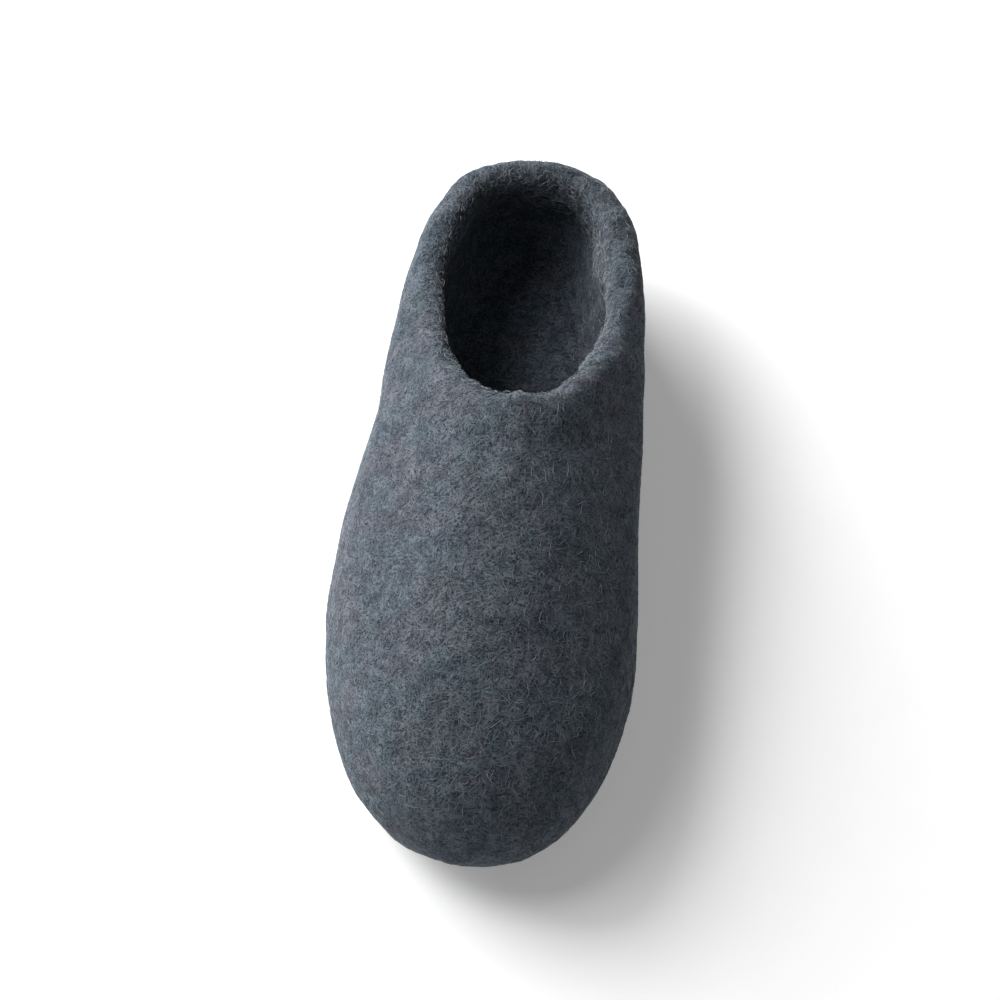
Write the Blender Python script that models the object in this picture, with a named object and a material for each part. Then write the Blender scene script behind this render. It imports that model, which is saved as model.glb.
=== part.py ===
# Felt slipper, the wearer's right shoe, built the way the real one is made:
#   upper   wool wet-felted in one piece over a last, felt bottom included, with a rolled-over rim
#   insole  felt pad lying loose inside on the felt bottom
#   sole    thin suede sole under the felt, a little smaller than it, so it can't be seen from above
#
# Frame: toe towards -Y, heel towards +Y, big-toe side at +X, little-toe side at -X, floor at z = 0.
# The upper is a stack of closed rings, from the edge of its bottom up to its rim. Each ring is an
# egg-shaped outline, and smooth curves run from ring to ring.

import math

import bmesh
import bpy
import numpy as np

# Driving sizes of the shoe, in metres
LENGTH = 0.275
BALL_WIDTH = 0.108
INSTEP_HEIGHT = 0.083
HEEL_HEIGHT = 0.058

# Thicknesses and clearances
WALL = 0.008
SOLE_THICKNESS = 0.003
SOLE_TUCK = 0.0015
SOLE_BEVEL = 0.0008
INSOLE_THICKNESS = 0.004
INSOLE_CLEARANCE = 0.0008
INSOLE_BEVEL = 0.001
GAP = 0.0003

# How the underside leaves the floor
TOE_SPRING = 0.007
HEEL_KICK = 0.001
ARCH_RISE = 0.0025

# How far the sides draw in between ball and heel
OUTER_WAIST = 0.003
INNER_WAIST = 0.0055

# Where the underside leaves the floor, and where the waist starts and ends, as shares of the length
SPRING_START = 0.20
ARCH_FRONT = 0.44
ARCH_REAR = 0.70
KICK_START = 0.93
OUTER_WAIST_FRONT = 0.42
INNER_WAIST_FRONT = 0.20
WAIST_REAR = 0.88

# How late the back narrows: 1 is straight from the widest place to the heel
NARROWING = 1.3

# The ankle's place, as a share of the length: the curves from ring to ring stand upright there
ANKLE = 0.79

# Each ring, from the bottom's edge to the rim.
# toe, heel, widest: where the ring starts, ends and is widest, as shares of the length from the toe
# outer, inner: half widths towards the little toe and the big toe, as shares of the ball width
# heel_outer, heel_inner: half widths that the back narrows to, as shares of the ball width
# rise_toe, rise_side: height as a share of the rise from the felt bottom to the throat's rim
# rise_heel: height as a share of the rise from the felt bottom to the heel's rim
# round_outer, round_inner, round_heel: 2 is an ellipse, and higher is squarer
# waist_outer, waist_inner: how much of the waist on each side the ring takes
COLUMNS = (
    "name", "toe", "heel", "widest", "outer", "inner", "heel_outer", "heel_inner", "rise_toe",
    "rise_side", "rise_heel", "round_outer", "round_inner", "round_heel", "waist_outer", "waist_inner",
)
RINGS = (
    ("seat", .045, .957, .35, .384, .400, .330, .330, .00, .00, .00, 2.0, 2.4, 2.9, 1.0, 1.0),
    ("turn", .020, .986, .35, .453, .468, .398, .402, .05, .06, .09, 2.0, 2.4, 2.9, 1.0, 0.9),
    ("bulge", .000, 1.00, .35, .489, .502, .436, .442, .19, .24, .37, 2.0, 2.4, 2.9, 1.0, 0.8),
    ("shoulder", .018, .999, .36, .470, .487, .430, .437, .42, .43, .60, 2.0, 2.4, 2.9, 1.0, 0.7),
    ("vamp", .085, .994, .42, .437, .464, .421, .425, .65, .56, .78, 2.0, 2.25, 2.95, 0.7, 0.5),
    ("instep", .280, .987, .58, .396, .410, .392, .398, .86, .65, .91, 2.05, 2.2, 2.9, 0.3, 0.2),
    ("collar", .511, .976, .79, .344, .355, .338, .345, 1.0, .70, 1.0, 2.15, 2.2, 2.25, 0.0, 0.0),
)

# Fineness of the mesh
AROUND = 64
ROWS_PER_RING = 3
RIM_STEPS = 6
ACROSS = 6

# Height of the upper's felt bottom over the floor, where the sole lies flat
BOTTOM = SOLE_THICKNESS + GAP


def lift(x, y):
    """Height of the underside over the floor: toe spring, arch and the heel's small kick."""
    station = y / LENGTH
    spring = np.clip((SPRING_START - station) / SPRING_START, 0, 1) ** 2
    kick = np.clip((station - KICK_START) / (1 - KICK_START), 0, 1) ** 2
    arch = np.sin(np.pi * np.clip((station - ARCH_FRONT) / (ARCH_REAR - ARCH_FRONT), 0, 1)) ** 2
    inner_share = 0.6 + 0.4 * np.clip(x / (0.4 * BALL_WIDTH), -1, 1)
    return TOE_SPRING * spring + HEEL_KICK * kick + ARCH_RISE * arch * inner_share


def ring_points(ring, angle):
    """Points of one ring; angle 0 is the heel's back, a quarter turn the big-toe side, pi the toe."""
    behind = (ring["heel"] - ring["widest"]) * LENGTH
    ahead = (ring["widest"] - ring["toe"]) * LENGTH
    reach = (ANKLE - ring["widest"]) / (ring["heel"] - ring["widest"])
    lead = math.pi / 2 - math.acos(reach ** (ring["round_heel"] / 2))
    turned = angle - lead * np.sin(angle)
    along, sideways = np.cos(turned), np.sin(turned)
    at_back, at_inner = along > 0, sideways > 0
    front_round = np.where(at_inner, ring["round_inner"], ring["round_outer"])
    power = 2 / np.where(at_back, ring["round_heel"], front_round)
    step = np.where(at_back, behind, ahead) * np.sign(along) * np.abs(along) ** power
    half = np.where(at_inner, ring["inner"], ring["outer"]) * BALL_WIDTH
    x = half * np.sign(sideways) * np.abs(sideways) ** power
    back_share = np.where(at_back, step / behind, 0)
    front_share = np.where(at_back, 0, -step / ahead)
    heel_half = np.where(at_inner, ring["heel_inner"], ring["heel_outer"]) * BALL_WIDTH
    x *= 1 - (1 - heel_half / half) * back_share ** NARROWING
    y = ring["widest"] * LENGTH + step
    depth = np.where(at_inner, -ring["waist_inner"] * INNER_WAIST, ring["waist_outer"] * OUTER_WAIST)
    front = np.where(at_inner, INNER_WAIST_FRONT, OUTER_WAIST_FRONT)
    x += depth * np.sin(np.pi * np.clip((y / LENGTH - front) / (WAIST_REAR - front), 0, 1)) ** 2
    throat_rise, heel_rise = INSTEP_HEIGHT - BOTTOM, HEEL_HEIGHT - BOTTOM
    side = ring["rise_side"] * throat_rise
    to_toe = (ring["rise_toe"] * throat_rise - side) * front_share ** 2
    to_heel = (ring["rise_heel"] * heel_rise - side) * back_share ** 2
    rise = side + to_toe + to_heel
    z = BOTTOM + rise + lift(x, y) * (1 - rise / throat_rise)
    return np.stack([x, y, z], axis=-1)


def smooth_weights(count, places):
    """Weights of a natural cubic spline through count knots, one row for each place along it."""
    system = np.eye(count)
    bends = np.zeros((count, count))
    for knot in range(1, count - 1):
        system[knot, knot - 1:knot + 2] = (1, 4, 1)
        bends[knot, knot - 1:knot + 2] = (6, -12, 6)
    bends = np.linalg.solve(system, bends)
    knots = np.eye(count)
    rows = []
    for place in places:
        start = min(int(place), count - 2)
        after = place - start
        before = 1 - after
        row = before * knots[start] + after * knots[start + 1]
        row = row + (before ** 3 - before) * bends[start] / 6
        row = row + (after ** 3 - after) * bends[start + 1] / 6
        rows.append(row)
    return np.array(rows)


def unit(vectors):
    return vectors / np.linalg.norm(vectors, axis=-1, keepdims=True)


def outer_surface():
    """Rows of points over the outside of the upper, from the seat up to the collar."""
    angle = np.linspace(0, 2 * math.pi, AROUND, endpoint=False)
    rings = np.array([ring_points(dict(zip(COLUMNS, row)), angle) for row in RINGS])
    places = np.linspace(0, len(RINGS) - 1, (len(RINGS) - 1) * ROWS_PER_RING + 1)
    return np.einsum("pr,rak->pak", smooth_weights(len(RINGS), places), rings)


def outward(surface):
    """Unit normals of a surface of closed rows, pointing away from the foot."""
    round_row = np.roll(surface, -1, axis=1) - np.roll(surface, 1, axis=1)
    up_curve = np.gradient(surface, axis=0)
    return unit(np.cross(up_curve, round_row))


def rim_rows(edge, normal):
    """Half-round rows that take the wall's outside over to its inside at the collar."""
    along_rim = np.roll(edge, -1, axis=0) - np.roll(edge, 1, axis=0)
    up = unit(np.cross(normal, along_rim))
    up = np.where(up[:, 2:] < 0, -up, up)
    middle = edge - normal * WALL / 2
    rows = []
    for step in range(1, RIM_STEPS):
        turn = math.pi * step / RIM_STEPS
        rows.append(middle + WALL / 2 * (math.cos(turn) * normal + math.sin(turn) * up))
    return rows


def inset(row, distance):
    """A flat outline moved inwards by a distance, in plan."""
    along = np.roll(row, -1, axis=0) - np.roll(row, 1, axis=0)
    inward = unit(np.stack([along[:, 1], -along[:, 0], 0 * along[:, 0]], axis=-1))
    centre = row.mean(axis=0)
    towards = np.sum(inward * (centre - row), axis=-1, keepdims=True)
    return row + np.where(towards > 0, inward, -inward) * distance


def at_height(row, height):
    """The same outline laid at a height over the underside's own curve."""
    laid = row.copy()
    laid[:, 2] = height + lift(row[:, 0], row[:, 1])
    return laid


def add_row(mesh, row):
    return [mesh.verts.new(point) for point in row]


def bridge(mesh, lower, upper):
    """Faces between two closed rows with the same number of points."""
    count = len(lower)
    for place in range(count):
        after = (place + 1) % count
        mesh.faces.new((lower[place], lower[after], upper[after], upper[place]))


def close_with_rungs(mesh, row, height):
    """Close a row by rungs from side to side that follow the underside's curve at a height."""
    half = len(row) // 2
    rungs = []
    for place in range(1, half):
        start, end = row[place], row[-place]
        rung = [start]
        for step in range(1, ACROSS):
            point = start.co.lerp(end.co, step / ACROSS)
            point.z = height + float(lift(point.x, point.y))
            rung.append(mesh.verts.new(point))
        rungs.append(rung + [end])
    for step in range(ACROSS):
        mesh.faces.new((row[0], rungs[0][step], rungs[0][step + 1]))
        mesh.faces.new((row[half], rungs[-1][step + 1], rungs[-1][step]))
    for near, far in zip(rungs, rungs[1:]):
        for step in range(ACROSS):
            mesh.faces.new((near[step], far[step], far[step + 1], near[step + 1]))


def finish(mesh, name, centre, colour, roughness):
    """Move a finished mesh to the shoe's frame and make it an object with its own material."""
    bmesh.ops.translate(mesh, verts=mesh.verts, vec=(-centre[0], -centre[1], 0))
    bmesh.ops.recalc_face_normals(mesh, faces=mesh.faces)
    data = bpy.data.meshes.new(name)
    mesh.to_mesh(data)
    mesh.free()
    data.shade_smooth()
    material = bpy.data.materials.new(name)
    material.use_nodes = True
    shader = material.node_tree.nodes["Principled BSDF"]
    shader.inputs["Base Color"].default_value = colour
    shader.inputs["Roughness"].default_value = roughness
    shader.inputs["Metallic"].default_value = 0.0
    data.materials.append(material)
    part = bpy.data.objects.new(name, data)
    bpy.context.collection.objects.link(part)
    return part


def build_upper(surface, centre):
    """One hollow felt solid: outside, rolled rim, inside and a felt bottom of the same thickness."""
    normal = outward(surface)
    mesh = bmesh.new()
    rows = list(surface) + rim_rows(surface[-1], normal[-1])
    inside = surface - normal * WALL
    rows += list(inside[:ROWS_PER_RING - 1:-1])
    rows.append(at_height(surface[0], BOTTOM + WALL))
    made = [add_row(mesh, row) for row in rows]
    for lower, upper in zip(made, made[1:]):
        bridge(mesh, lower, upper)
    close_with_rungs(mesh, made[0], BOTTOM)
    close_with_rungs(mesh, made[-1], BOTTOM + WALL)
    return finish(mesh, "upper", centre, (0.075, 0.095, 0.125, 1.0), 0.95)


def build_pad(name, outline, base, profile, centre, colour, roughness):
    """A pad that follows the underside's curve; its profile pairs an inset with a height."""
    mesh = bmesh.new()
    made = [add_row(mesh, at_height(inset(outline, inward), base + up)) for inward, up in profile]
    for lower, upper in zip(made, made[1:]):
        bridge(mesh, lower, upper)
    close_with_rungs(mesh, made[0], base + profile[0][1])
    close_with_rungs(mesh, made[-1], base + profile[-1][1])
    return finish(mesh, name, centre, colour, roughness)


def build_sole(seat, centre):
    profile = ((SOLE_BEVEL, 0.0), (0.0, SOLE_BEVEL), (0.0, SOLE_THICKNESS))
    outline = inset(seat, SOLE_TUCK)
    return build_pad("sole", outline, 0.0, profile, centre, (0.16, 0.12, 0.09, 1.0), 0.85)


def build_insole(seat, centre):
    straight = INSOLE_THICKNESS - INSOLE_BEVEL
    profile = ((0.0, 0.0), (0.0, straight), (INSOLE_BEVEL, INSOLE_THICKNESS))
    outline = inset(seat, INSOLE_CLEARANCE)
    base = BOTTOM + WALL + GAP
    return build_pad("insole", outline, base, profile, centre, (0.085, 0.105, 0.135, 1.0), 0.95)


def build():
    for old in list(bpy.data.objects):
        bpy.data.objects.remove(old)
    surface = outer_surface()
    spread = surface.reshape(-1, 3)
    centre = (spread.min(axis=0) + spread.max(axis=0)) / 2
    build_upper(surface, centre)
    build_sole(surface[0], centre)
    build_insole(surface[0], centre)


build()
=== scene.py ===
import itertools
import math

import bmesh
import bpy
import numpy as np
from mathutils import Matrix, Vector


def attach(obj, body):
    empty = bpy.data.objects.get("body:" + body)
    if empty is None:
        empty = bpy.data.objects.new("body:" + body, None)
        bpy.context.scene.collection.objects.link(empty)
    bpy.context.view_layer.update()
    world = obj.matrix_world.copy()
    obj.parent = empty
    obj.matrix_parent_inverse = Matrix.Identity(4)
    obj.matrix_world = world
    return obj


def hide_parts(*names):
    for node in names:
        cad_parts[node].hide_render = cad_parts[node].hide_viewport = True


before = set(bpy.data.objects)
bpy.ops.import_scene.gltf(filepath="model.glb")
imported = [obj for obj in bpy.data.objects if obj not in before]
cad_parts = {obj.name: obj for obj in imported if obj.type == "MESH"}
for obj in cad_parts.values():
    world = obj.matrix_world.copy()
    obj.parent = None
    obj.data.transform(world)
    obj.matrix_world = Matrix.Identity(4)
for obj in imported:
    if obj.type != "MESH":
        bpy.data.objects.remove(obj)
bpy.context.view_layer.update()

print("frame loaded:", sorted(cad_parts))

# node helpers


def addNode(tree, kind, **values):
    node = tree.nodes.new("ShaderNode" + kind)
    for name, value in values.items():
        setattr(node, name, value)
    return node


def setInputs(node, **values):
    # spaces in socket names are written as underscores
    for name, value in values.items():
        node.inputs[name.replace("_", " ")].default_value = value
    return node


def mathNode(tree, operation, first, second):
    node = addNode(tree, "Math", operation=operation)
    for place, value in enumerate((first, second)):
        if isinstance(value, (int, float)):
            node.inputs[place].default_value = value
        else:
            tree.links.new(value, node.inputs[place])
    return node.outputs[0]


def vectorNode(tree, operation, first, second):
    node = addNode(tree, "VectorMath", operation=operation)
    tree.links.new(first, node.inputs[0])
    if isinstance(second, tuple):
        node.inputs[1].default_value = second
    elif operation == "SCALE":
        tree.links.new(second, node.inputs["Scale"])
    else:
        tree.links.new(second, node.inputs[1])
    return node.outputs[0]


def mapRange(tree, value, fromMin, fromMax, toMin=0.0, toMax=1.0):
    node = addNode(tree, "MapRange", interpolation_type="SMOOTHSTEP")
    setInputs(node, From_Min=fromMin, From_Max=fromMax, To_Min=toMin, To_Max=toMax)
    tree.links.new(value, node.inputs["Value"])
    return node.outputs["Result"]


def noiseNode(tree, vector, scale, detail=2.0, roughness=0.5):
    node = addNode(tree, "TexNoise")
    setInputs(node, Scale=scale, Detail=detail, Roughness=roughness)
    tree.links.new(vector, node.inputs["Vector"])
    return node


def softPattern(tree, vector, scale, detail, roughness, edges):
    # noise that goes from 0 to 1 between two of its values
    noise = noiseNode(tree, vector, scale, detail, roughness)
    return mapRange(tree, noise.outputs["Fac"], *edges)


def mixColour(tree, factor, first, second, blend="MIX"):
    # a colour Mix node has its factor in socket 0 and its two colours in sockets 6 and 7
    node = addNode(tree, "Mix", data_type="RGBA", blend_type=blend)
    for place, value in ((0, factor), (6, first), (7, second)):
        if isinstance(value, (int, float, tuple)):
            node.inputs[place].default_value = value
        else:
            tree.links.new(value, node.inputs[place])
    return node.outputs[2]


def newGroup(name, inputs, outputs):
    group = bpy.data.node_groups.new(name, "ShaderNodeTree")
    for socketName, kind, value in inputs:
        socket = group.interface.new_socket(
            name=socketName, in_out="INPUT", socket_type="NodeSocket" + kind)
        if value is not None:
            socket.default_value = value
    for socketName, kind in outputs:
        group.interface.new_socket(
            name=socketName, in_out="OUTPUT", socket_type="NodeSocket" + kind)
    start = group.nodes.new("NodeGroupInput")
    end = group.nodes.new("NodeGroupOutput")
    return group, start, end


def placeGroup(tree, group, vector, **values):
    node = addNode(tree, "Group", node_tree=group)
    tree.links.new(vector, node.inputs["Vector"])
    return setInputs(node, **values)


def newMaterial(name, **shaderValues):
    material = bpy.data.materials.new(name)
    material.use_nodes = True
    tree = material.node_tree
    shader = tree.nodes["Principled BSDF"]
    setInputs(shader, **shaderValues)
    return material, tree, shader


def objectPlace(tree):
    # where a point lies in its piece's own axes, in metres
    return addNode(tree, "TexCoord").outputs["Object"]


def newCloth(name, look):
    # a soft matt material
    material, tree, shader = newMaterial(
        name, Metallic=0.0, Sheen_Weight=look["sheen"], Sheen_Roughness=look["sheenRoughness"],
        Sheen_Tint=look["sheenTint"], Specular_IOR_Level=look["specular"])
    return material, tree, shader, objectPlace(tree)


def addBump(tree, shader, height, look):
    bump = addNode(tree, "Bump")
    setInputs(bump, Strength=look["bump"], Distance=look["bumpDepth"])
    tree.links.new(height, bump.inputs["Height"])
    tree.links.new(bump.outputs["Normal"], shader.inputs["Normal"])


# shared effects


strandLook = {
    "directions": 7,
    "turnSeed": 5,
    "stray": 0.2,            # radians that a direction strays from its even share
    "tilt": 0.5,             # radians that it leans either way
    "bendScale": 260.0,
    "edges": (0.60, 0.74),   # noise values between which a strand fades in
}


def makeStrandGroup():
    # short curled wool strands lying every way: thin stretched noise in several directions
    group, start, end = newGroup(
        "woolStrands",
        [("Vector", "Vector", None), ("Length", "Float", 0.004),
         ("Width", "Float", 0.0009), ("Curl", "Float", 0.0016)],
        [("Strands", "Float")])
    bend = noiseNode(group, start.outputs["Vector"], strandLook["bendScale"], detail=1.0)
    centred = vectorNode(group, "SUBTRACT", bend.outputs["Color"], (0.5, 0.5, 0.5))
    sized = vectorNode(group, "SCALE", centred, start.outputs["Curl"])
    curled = vectorNode(group, "ADD", start.outputs["Vector"], sized)
    along = mathNode(group, "DIVIDE", 1.0, start.outputs["Length"])
    across = mathNode(group, "DIVIDE", 1.0, start.outputs["Width"])
    stretch = addNode(group, "CombineXYZ")
    for place, value in enumerate((along, across, across)):
        group.links.new(value, stretch.inputs[place])
    turns = np.random.default_rng(strandLook["turnSeed"])
    stray, tilt = strandLook["stray"], strandLook["tilt"]
    total = None
    for number in range(strandLook["directions"]):
        turned = addNode(group, "Mapping")
        angle = math.pi * number / strandLook["directions"] + turns.uniform(-stray, stray)
        tilts = turns.uniform(-tilt, tilt), turns.uniform(-tilt, tilt)
        turned.inputs["Rotation"].default_value = tilts + (angle,)
        turned.inputs["Location"].default_value = tuple(turns.uniform(-1, 1, 3))
        group.links.new(curled, turned.inputs["Vector"])
        stretched = vectorNode(group, "MULTIPLY", turned.outputs[0], stretch.outputs[0])
        streaks = noiseNode(group, stretched, scale=1.0, detail=0.0)
        strand = mapRange(group, streaks.outputs["Fac"], *strandLook["edges"])
        total = strand if total is None else mathNode(group, "MAXIMUM", total, strand)
    group.links.new(total, end.inputs["Strands"])
    return group


heatherLook = {
    "spots": {"scale": 520.0, "detail": 5.0, "roughness": 0.7, "edges": (0.32, 0.68)},
    "clouds": {"scale": 185.0, "detail": 3.0, "roughness": 0.6, "edges": (0.36, 0.64)},
    "cloudShare": 0.5,
    "drifts": {"scale": 24.0, "detail": 1.0, "roughness": 0.5, "edges": (0.3, 0.7)},
    "driftShare": 0.25,
}


def makeHeatherGroup():
    # wool dyed in the fleece: soft darker and paler clouds a few millimetres wide
    group, start, end = newGroup(
        "heatheredWool",
        [("Vector", "Vector", None),
         ("Dark", "Color", (0.03, 0.04, 0.055, 1)),
         ("Middle", "Color", (0.07, 0.085, 0.105, 1)),
         ("Pale", "Color", (0.12, 0.14, 0.17, 1))],
        [("Color", "Color"), ("Clouds", "Float")])
    spots, clouds, drifts = (
        softPattern(group, start.outputs["Vector"], **heatherLook[name])
        for name in ("spots", "clouds", "drifts"))
    first = mixColour(group, spots, start.outputs["Dark"], start.outputs["Middle"])
    softened = mathNode(group, "MULTIPLY", clouds, heatherLook["cloudShare"])
    second = mixColour(group, softened, first, start.outputs["Pale"])
    faded = mathNode(group, "MULTIPLY", drifts, heatherLook["driftShare"])
    third = mixColour(group, faded, second, start.outputs["Dark"])
    group.links.new(third, end.inputs["Color"])
    group.links.new(clouds, end.inputs["Clouds"])
    return group


dyeLook = {
    "detail": 3.0,
    "roughness": 0.55,
    "edges": (0.38, 0.62),
}


def makeDyeGroup():
    # the dye took unevenly: slow drifts between a cooler and a warmer cast
    group, start, end = newGroup(
        "unevenDye",
        [("Vector", "Vector", None), ("Size", "Float", 70.0),
         ("Cool", "Color", (1, 1, 1, 1)), ("Warm", "Color", (1, 1, 1, 1))],
        [("Cast", "Color")])
    drift = noiseNode(group, start.outputs["Vector"], 1.0, dyeLook["detail"], dyeLook["roughness"])
    group.links.new(start.outputs["Size"], drift.inputs["Scale"])
    hues = mapRange(group, drift.outputs["Fac"], *dyeLook["edges"])
    cast = mixColour(group, hues, start.outputs["Warm"], start.outputs["Cool"])
    group.links.new(cast, end.inputs["Cast"])
    return group


reliefLook = {
    "pebbles": 210.0,
    "tooth": 1500.0,
}


def makePebbleGroup():
    # the small soft pebbling that felting leaves, and the fine tooth of the fibres
    group, start, end = newGroup(
        "feltRelief",
        [("Vector", "Vector", None), ("Pebble", "Float", 0.5),
         ("Tooth", "Float", 0.2)],
        [("Height", "Float")])
    vector = start.outputs["Vector"]
    pebbles = noiseNode(group, vector, reliefLook["pebbles"])
    tooth = noiseNode(group, vector, reliefLook["tooth"], roughness=0.6)
    first = mathNode(group, "MULTIPLY", pebbles.outputs["Fac"], start.outputs["Pebble"])
    second = mathNode(group, "MULTIPLY", tooth.outputs["Fac"], start.outputs["Tooth"])
    group.links.new(mathNode(group, "ADD", first, second), end.inputs["Height"])
    return group


strandGroup = makeStrandGroup()
heatherGroup = makeHeatherGroup()
dyeGroup = makeDyeGroup()
pebbleGroup = makePebbleGroup()
print("shared effects ready")

# the last's shape, the same numbers as the CAD source

shoe = {
    "length": 0.275,
    "ballWidth": 0.108,
    "instepHeight": 0.083,
    "heelHeight": 0.058,
    "wall": 0.008,
    "soleThickness": 0.003,
    "gap": 0.0003,
    "soleTuck": 0.0015,
    "insoleThickness": 0.004,
    "insoleClearance": 0.0008,
    "seam": 0.00008,
    "toeSpring": 0.007,
    "heelKick": 0.001,
    "archRise": 0.0025,
    "springStart": 0.20,
    "archFront": 0.44,
    "archRear": 0.70,
    "kickStart": 0.93,
    "outerWaist": 0.003,
    "innerWaist": 0.0055,
    "outerWaistFront": 0.42,
    "innerWaistFront": 0.20,
    "waistRear": 0.88,
    "narrowing": 1.3,
    "ankle": 0.79,
}
ringColumns = (
    "name", "toe", "heel", "widest", "outer", "inner", "heelOuter", "heelInner", "riseToe",
    "riseSide", "riseHeel", "roundOuter", "roundInner", "roundHeel", "waistOuter", "waistInner",
)
ringTable = (
    ("seat", .045, .957, .35, .384, .400, .330, .330, .00, .00, .00, 2.0, 2.4, 2.9, 1.0, 1.0),
    ("turn", .020, .986, .35, .453, .468, .398, .402, .05, .06, .09, 2.0, 2.4, 2.9, 1.0, 0.9),
    ("bulge", .000, 1.00, .35, .489, .502, .436, .442, .19, .24, .37, 2.0, 2.4, 2.9, 1.0, 0.8),
    ("shoulder", .018, .999, .36, .470, .487, .430, .437, .42, .43, .60, 2.0, 2.4, 2.9, 1.0, 0.7),
    ("vamp", .085, .994, .42, .437, .464, .421, .425, .65, .56, .78, 2.0, 2.25, 2.95, 0.7, 0.5),
    ("instep", .280, .987, .58, .396, .410, .392, .398, .86, .65, .91, 2.05, 2.2, 2.9, 0.3, 0.2),
    ("collar", .511, .976, .79, .344, .355, .338, .345, 1.0, .70, 1.0, 2.15, 2.2, 2.25, 0.0, 0.0),
)
rings = [dict(zip(ringColumns, row)) for row in ringTable]
bottom = shoe["soleThickness"] + shoe["gap"]
fineness = {
    "around": 300,
    "rowsPerRing": 18,
    "rimRows": 9,
    "across": 44,
}


def undersideLift(x, y):
    # toe spring, arch and the heel's small kick; y counts from the toe
    station = y / shoe["length"]
    spring = np.clip((shoe["springStart"] - station) / shoe["springStart"], 0, 1) ** 2
    kick = np.clip((station - shoe["kickStart"]) / (1 - shoe["kickStart"]), 0, 1) ** 2
    archPlace = np.clip((station - shoe["archFront"]) / (shoe["archRear"] - shoe["archFront"]), 0, 1)
    innerShare = 0.6 + 0.4 * np.clip(x / (0.4 * shoe["ballWidth"]), -1, 1)
    arch = shoe["archRise"] * np.sin(math.pi * archPlace) ** 2 * innerShare
    return shoe["toeSpring"] * spring + shoe["heelKick"] * kick + arch


def ringOutline(ring, angle):
    # one ring's closed outline; the angle runs from the heel over the big-toe side to the toe
    behind = (ring["heel"] - ring["widest"]) * shoe["length"]
    ahead = (ring["widest"] - ring["toe"]) * shoe["length"]
    reach = (shoe["ankle"] - ring["widest"]) / (ring["heel"] - ring["widest"])
    lead = math.pi / 2 - math.acos(reach ** (ring["roundHeel"] / 2))
    turned = angle - lead * np.sin(angle)
    along, sideways = np.cos(turned), np.sin(turned)
    atBack, atInner = along > 0, sideways > 0
    frontRound = np.where(atInner, ring["roundInner"], ring["roundOuter"])
    power = 2 / np.where(atBack, ring["roundHeel"], frontRound)
    step = np.where(atBack, behind, ahead) * np.sign(along) * np.abs(along) ** power
    half = np.where(atInner, ring["inner"], ring["outer"]) * shoe["ballWidth"]
    x = half * np.sign(sideways) * np.abs(sideways) ** power
    backShare = np.where(atBack, step / behind, 0)
    frontShare = np.where(atBack, 0, -step / ahead)
    heelHalf = np.where(atInner, ring["heelInner"], ring["heelOuter"]) * shoe["ballWidth"]
    x = x * (1 - (1 - heelHalf / half) * backShare ** shoe["narrowing"])
    y = ring["widest"] * shoe["length"] + step
    innerDepth = ring["waistInner"] * shoe["innerWaist"]
    outerDepth = ring["waistOuter"] * shoe["outerWaist"]
    depth = np.where(atInner, -innerDepth, outerDepth)
    front = np.where(atInner, shoe["innerWaistFront"], shoe["outerWaistFront"])
    waistPlace = np.clip((y / shoe["length"] - front) / (shoe["waistRear"] - front), 0, 1)
    x = x + depth * np.sin(math.pi * waistPlace) ** 2
    throatRise, heelRise = shoe["instepHeight"] - bottom, shoe["heelHeight"] - bottom
    side = ring["riseSide"] * throatRise
    toToe = (ring["riseToe"] * throatRise - side) * frontShare ** 2
    toHeel = (ring["riseHeel"] * heelRise - side) * backShare ** 2
    rise = side + toToe + toHeel
    z = bottom + rise + undersideLift(x, y) * (1 - rise / throatRise)
    return np.stack([x, y, z], axis=-1)


def splineWeights(count, places):
    # how much each ring weighs at each place of a natural cubic spline
    system = np.eye(count)
    bends = np.zeros((count, count))
    for knot in range(1, count - 1):
        system[knot, knot - 1:knot + 2] = (1, 4, 1)
        bends[knot, knot - 1:knot + 2] = (6, -12, 6)
    bends = np.linalg.solve(system, bends)
    knots = np.eye(count)
    weights = []
    for place in places:
        first = min(int(place), count - 2)
        after = place - first
        before = 1 - after
        row = before * knots[first] + after * knots[first + 1]
        row = row + (before ** 3 - before) * bends[first] / 6
        weights.append(row + (after ** 3 - after) * bends[first + 1] / 6)
    return np.array(weights)


def unit(vectors):
    return vectors / np.linalg.norm(vectors, axis=-1, keepdims=True)


def gridNormals(grid):
    roundRow = np.roll(grid, -1, axis=1) - np.roll(grid, 1, axis=1)
    upCurve = np.gradient(grid, axis=0)
    return unit(np.cross(upCurve, roundRow))


def softNoise(points, size, seed):
    # smooth random heights from -1 to 1, with lumps about size metres wide. The large numbers
    # stir a cell's place and the seed into an even spread of values
    cell = points / size + seed * 13.7
    base = np.floor(cell).astype(np.int64)
    part = cell - base
    part = part * part * part * (part * (part * 6 - 15) + 10)
    total = np.zeros(points.shape[:-1])
    for corner in itertools.product((0, 1), repeat=3):
        place = (base + np.array(corner)) * np.array((73856093, 19349663, 83492791))
        code = place[..., 0] ^ place[..., 1] ^ place[..., 2] ^ (seed * 7919)
        code = ((code ^ (code >> 13)) * 1274126177) & 0x7FFFFFFF
        value = ((code ^ (code >> 15)) & 0xFFFF) / 32767.5 - 1
        weight = np.prod(np.where(np.array(corner) == 1, part, 1 - part), axis=-1)
        total += weight * value
    return total


print("last's shape ready")

# the felt upper: one thick shell with a soft rolled rim

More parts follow.
